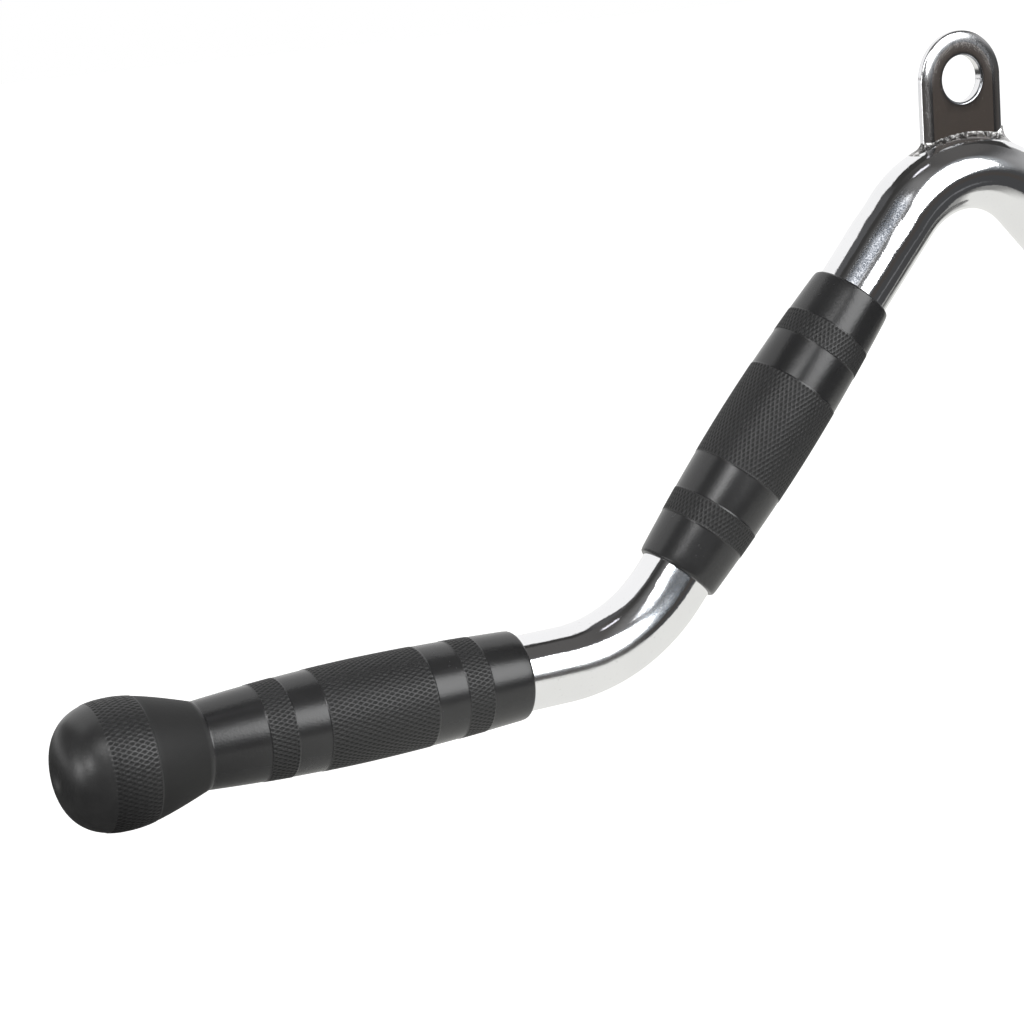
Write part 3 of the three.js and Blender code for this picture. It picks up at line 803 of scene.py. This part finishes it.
standFor(makeBar(), barChrome, "chrome", "bar")
standFor(makeEyePlate(), eyeChrome, "chrome", "eye_plate")
standFor(makeWeld("weldBeadFront", -1, 3), weldChrome, "weld_chrome", "weld_front")
standFor(makeWeld("weldBeadRear", 1, 8), weldChrome, "weld_chrome", "weld_rear")
for word, side in (("Left", -1), ("Right", 1)):
    inner = makeGrip(f"innerGrip{word}", side, grip["innerStart"], innerRows(),
                     knurl["innerPitch"], True)
    standFor(inner, gripRubber, "grip_rubber", f"inner_grip_{word.lower()}")
    outer = makeGrip(f"outerGrip{word}", side, grip["outerStart"], outerRows(),
                     knurl["outerPitch"], False)
    standFor(outer, gripRubber, "grip_rubber", f"outer_grip_{word.lower()}")


# The room round the bar, in metres. Pairs are where a smooth step begins and ends.
studio = {
    "floorHeight": -0.5,
    "floorSides": (-6, 6),
    "floorEnds": (-6, 8),
    "floorPaint": (0.8, 0.8, 0.79),
    "floorGlow": (0.6, 0.3),                # as the camera sees it: near, and added farther off
    "floorAway": (0.35, 1.2),
    "floorMirrored": (0.0, 0.4),            # metal sees the pale floor from here back
    "floorDark": (-1.6, -2.4),
    "floorPale": [0.85] * 3,
    "backdropPale": (1, 1, 1),
    "backdropEdge": (-0.02, 0.03),
    "backdropBend": (0.34, 0.09),           # how far its edge bends with |x| and with x
    "backdropFade": 1.1,                    # how fast that fades upward
    "backdropTilt": 0.17,
    "roomDark": (0.063, 0.064, 0.066),
    "roomHorizon": (0.068, 0.0615, 0.0575),
    "horizonDown": (0.02, -0.12),
    "overheadLeft": (0.045, 0.044, 0.043),
    "overheadRight": (0.104, 0.101, 0.099),
    "overheadAcross": (-0.5, 0.4),
    "overheadUp": (0.55, 0.8),
    "wallAcross": (0.45, 1.0),              # the lit wall to the right
    "wallUp": (0.05, 0.3, 0.45, 0.72),
    "wallLevel": 0.4,
    "haloToward": (-0.38, -0.71, 0.59),     # glow round the high softbox
    "haloEdge": (0.74, 0.97),
    "haloLevel": 0.16,
    "ringToward": (0.363, -0.828, 0.427),   # glow round the round one
    "ringEdge": (0.885, 0.94),
    "ringLevel": 0.28,
    "ringColour": (0.88, 0.95, 1.0),
    "plainLevel": [0.3] * 3,                # even light on dull surfaces
    "leftLevel": [1.2] * 3,                 # and low on the left
    "leftAcross": (-0.1, -0.8),
    "leftUp": (0.75, 0.05),
}


# The floor: a pale paper. What looks at it directly sees it white with the shadow on it, and metal
# sees it pale back from the bar and dark in front, as the unlit room is.
def makeFloor():
    (left, right), (front, back) = studio["floorSides"], studio["floorEnds"]
    z = studio["floorHeight"]
    mesh = bpy.data.meshes.new("paleFloor")
    mesh.from_pydata([(left, front, z), (right, front, z), (right, back, z), (left, back, z)],
                     [], [(0, 1, 2, 3)])
    floor = placed("paleFloor", mesh)
    material, sheet = newMaterial("palePaper")
    camera = sheet.node("ShaderNodeLightPath", out="Is Camera Ray")
    x, y, _ = axes(coordinates(sheet, "Object"))
    near, farther = studio["floorGlow"]
    away = ((x * x + y * y) ** 0.5).step(*studio["floorAway"])
    shown = (camera * (near + farther * away)).mix((0, 0, 0), (1, 1, 1))
    seen = y.step(*studio["floorDark"]).mix(studio["roomDark"], studio["roomHorizon"])
    seen = y.step(*studio["floorMirrored"]).mix(seen, studio["floorPale"])
    diffuse = sheet.node("ShaderNodeBsdfDiffuse", None, {"Color": studio["floorPaint"]})
    glow = sheet.node("ShaderNodeEmission", None, {"Color": shown})
    lit = sheet.node("ShaderNodeAddShader", None, {0: diffuse, 1: glow})
    mirrored = sheet.node("ShaderNodeEmission", None, {"Color": seen})
    shader = sheet.node("ShaderNodeMixShader", None, {
        0: camera.sibling("Is Glossy Ray"), 1: lit, 2: mirrored})
    sheet.node("ShaderNodeOutputMaterial", None, {"Surface": shader})
    mesh.materials.append(material)


# Cards that only metal and gloss see. A fade is its share, its steps in x and its steps in y.
cards = {
    # a hand's breadth under the bar: its front edge gives the chrome's underside its dark line, and
    # it dims toward its front right corner, its front and its left end
    "paleCard": {
        "height": -0.25,
        "outline": [(-0.9, -0.31), (0.10, -0.31), (0.24, -0.20), (0.30, -0.06), (1.4, -0.05),
                    (1.4, 1.4), (-0.9, 1.4)],
        "colours": [(0.85, 0.85, 0.82025), (0.02, 0.02, 0.02)],
        "fades": [(0.64, [(0.20, 0.25)], [(0.22, 0.04)]),
                  (0.7, [(0.05, 0.17)], [(-0.11, -0.15)]),
                  (0.95, [(-0.19, -0.33)], [])],
    },
    # close over the bar, a little paler to the left
    "darkFlag": {
        "height": 0.10,
        "outline": [(-0.36, 0.01), (0.2, 0.01), (0.2, 0.10), (0.10, 0.065), (0.03, 0.052),
                    (-0.01, 0.058), (-0.06, 0.064), (-0.085, 0.062), (-0.112, 0.096),
                    (-0.15, 0.086), (-0.20, 0.047), (-0.27, 0.03), (-0.36, 0.02)],
        "colours": [studio["overheadLeft"], (0.095, 0.095, 0.098)],
        "fades": [(1, [(-0.07, -0.13)], [])],
    },
    # draws a thin line along the underside of the arch's front
    "dimStrip": {
        "height": -0.249,
        "outline": [(0.25, -0.38), (0.51, -0.38), (0.51, -0.28), (0.25, -0.28)],
        "colours": [studio["roomDark"], (0.17, 0.172, 0.178)],
        "fades": [(1, [(0.26, 0.32), (0.50, 0.42)], [(-0.37, -0.35), (-0.29, -0.31)])],
    },
    # beyond the left end, it keeps the backdrop out of the bulb's dome
    "leftFlag": {
        "height": 0.05,
        "outline": [(-3.0, -0.1), (-0.5, -0.1), (-0.5, 2.0), (-3.0, 2.0)],
        "colours": [studio["roomHorizon"], studio["roomDark"]],
        "fades": [(1, [(-0.5, -0.6)], [])],
    },
}


# A flat polygon at a height. Its colour goes from the first to the second by 1 - the product of
# (1 - share x fade) over its fades, where a fade is the product of its smooth steps.
def reflectorCard(name, look):
    corners = [(x, y, look["height"]) for x, y in look["outline"]]
    mesh = bpy.data.meshes.new(name)
    mesh.from_pydata(corners, [], [tuple(range(len(corners)))])
    card = placed(name, mesh)
    card.visible_camera = card.visible_diffuse = card.visible_shadow = False
    card.visible_transmission = card.visible_volume_scatter = False
    material, sheet = newMaterial(name + "Paper")
    x, y, _ = axes(coordinates(sheet, "Object"))
    kept = 1.0
    for share, acrossSteps, backSteps in look["fades"]:
        fade = share
        for axis, steps in ((x, acrossSteps), (y, backSteps)):
            for low, high in steps:
                fade = axis.step(low, high) * fade
        kept = (1 - fade) * kept
    glow = sheet.node("ShaderNodeEmission", None, {"Color": (1 - kept).mix(*look["colours"])})
    sheet.node("ShaderNodeOutputMaterial", None, {"Surface": glow})
    mesh.materials.append(material)


# A sum of the parts of a direction, each times its weight: how far it leans toward another.
def leaning(parts, toward):
    return sum(weight * part for weight, part in zip(toward, parts))


# The world: white for the camera. Metal sees a white backdrop behind and the dark room in front and
# overhead, divided by a tilted plane through the part that bends forward near the horizon, a lit
# wall to the right, and a faint glow round two softboxes, a smooth step of direction . centre. Dull
# surfaces get an even level, brighter from low on the left.
def makeWorld():
    world = bpy.data.worlds.new("studioWorld")
    bpy.context.scene.world = world
    sky = emptySheet(world)
    camera = sky.node("ShaderNodeLightPath", out="Is Camera Ray")
    mirrored = camera.sibling("Is Glossy Ray") + camera.sibling("Is Transmission Ray")
    x, y, z = direction = axes(coordinates(sky, "Generated"))
    outward, rightward = studio["backdropBend"]
    bend = outward * sky.maths("ABSOLUTE", x) + rightward * x
    low = sky.maths("MAXIMUM", 1 - studio["backdropFade"] * z, 0.0)
    backdrop = (y - bend * low - studio["backdropTilt"] * z).step(*studio["backdropEdge"])
    overhead = x.step(*studio["overheadAcross"]).mix(studio["overheadLeft"],
                                                     studio["overheadRight"])
    room = z.step(*studio["overheadUp"]).mix(studio["roomDark"], overhead)
    room = z.step(*studio["horizonDown"]).mix(room, studio["roomHorizon"])
    wall = x.step(*studio["wallAcross"]) * z.band(*studio["wallUp"])
    room = (wall * studio["wallLevel"]).mix(room, (1, 1, 1))
    halo = leaning(direction, studio["haloToward"]).step(*studio["haloEdge"])
    room = (halo * studio["haloLevel"]).mix(room, (1, 1, 1))
    ring = leaning(direction, studio["ringToward"]).step(*studio["ringEdge"])
    room = (ring * studio["ringLevel"]).mix(room, studio["ringColour"])
    seen = backdrop.mix(room, studio["backdropPale"])
    left = x.step(*studio["leftAcross"]) * z.step(*studio["leftUp"])
    plain = left.mix(studio["plainLevel"], studio["leftLevel"])
    colour = camera.mix(mirrored.mix(plain, seen), (1, 1, 1))
    shader = sky.node("ShaderNodeBackground", None, {"Color": colour})
    sky.node("ShaderNodeOutputWorld", None, {"Surface": shader})


# Lamps by direction from the part (azimuth from the front toward +x, and elevation, in degrees).
aim = np.array([-0.10, -0.01, -0.10])
lamps = {
    "roundSoftbox": {"shape": "DISK", "size": (1.0, 1.0), "azimuth": 23.7, "elevation": 24.9,
                     "distance": 1.3, "radiance": 4.4},
    "highSoftbox": {"shape": "RECTANGLE", "size": (0.75, 0.35), "azimuth": -34, "elevation": 41,
                    "distance": 1.2, "radiance": 2.8},
    "nearSpot": {"shape": "RECTANGLE", "size": (0.14, 0.09), "azimuth": -35.6, "elevation": 34.6,
                 "distance": 0.49, "radiance": 6.0},
    "sideLamp": {"shape": "DISK", "size": (0.34, 0.34), "azimuth": -89, "elevation": 1,
                 "distance": 1.1, "radiance": 4.5},
    "bulbLamp": {"shape": "DISK", "size": (0.24, 0.24), "azimuth": -68, "elevation": 11,
                 "distance": 1.1, "radiance": 9},
    "topLamp": {"shape": "RECTANGLE", "size": (0.30, 0.12), "azimuth": 0, "elevation": 79,
                "distance": 1.4, "radiance": 1.2, "colour": (0.93, 0.92, 1.0)},
}


# A soft lamp of a given radiance, turned toward the part; its power is radiance x pi x area.
def softLamp(name, shape, size, azimuth, elevation, distance, radiance, colour=(1, 1, 1)):
    a, e = math.radians(azimuth), math.radians(elevation)
    toward = np.array([math.sin(a) * math.cos(e), -math.cos(a) * math.cos(e), math.sin(e)])
    data = bpy.data.lights.new(name, "AREA")
    data.shape, data.size, data.size_y = shape, size[0], size[1]
    area = size[0] * size[1] * (math.pi / 4 if shape == "DISK" else 1)
    data.energy, data.color = radiance * math.pi * area, colour
    lamp = placed(name, data)
    lamp.visible_camera = False
    right = np.cross([0, 0, 1], toward)
    right /= np.linalg.norm(right)
    stand(lamp, aim + toward * distance, right, np.cross(toward, right), toward)


# Puts a lamp or the camera at a place, with its own x, y and z along three directions.
def stand(thing, at, right, up, behind):
    turned = Matrix(np.stack([right, up, behind], 1).tolist()).to_4x4()
    thing.matrix_world = Matrix.Translation(at) @ turned


# Front left of the bar and a little above it, looking down and leaning to the right.
view = {
    "at": (-0.581008, -0.797125, 0.086531),
    "yaw": 0.4625,
    "pitch": -0.2282,
    "roll": 0.0799,
    "lens": 99.298,
    "sensor": 36.0,
    "clip": (0.01, 60),
}


# The view direction from yaw and pitch; right and down are turned by the roll.
def makeCamera():
    yaw, pitch, roll = view["yaw"], view["pitch"], view["roll"]
    forward = np.array([math.sin(yaw) * math.cos(pitch), math.cos(yaw) * math.cos(pitch),
                        math.sin(pitch)])
    right = np.array([math.cos(yaw), -math.sin(yaw), 0.0])
    down = np.cross(forward, right)
    data = bpy.data.cameras.new("viewCamera")
    data.lens, data.sensor_width = view["lens"], view["sensor"]
    data.clip_start, data.clip_end = view["clip"]
    camera = placed("viewCamera", data)
    stand(camera, view["at"], right * math.cos(roll) + down * math.sin(roll),
          right * math.sin(roll) - down * math.cos(roll), -forward)
    bpy.context.scene.camera = camera


makeFloor()
for name, look in cards.items():
    reflectorCard(name, look)
makeWorld()
for name, lamp in lamps.items():
    softLamp(name, **lamp)
makeCamera()
bpy.context.scene.view_settings.view_transform = "Standard"
print("studio set")
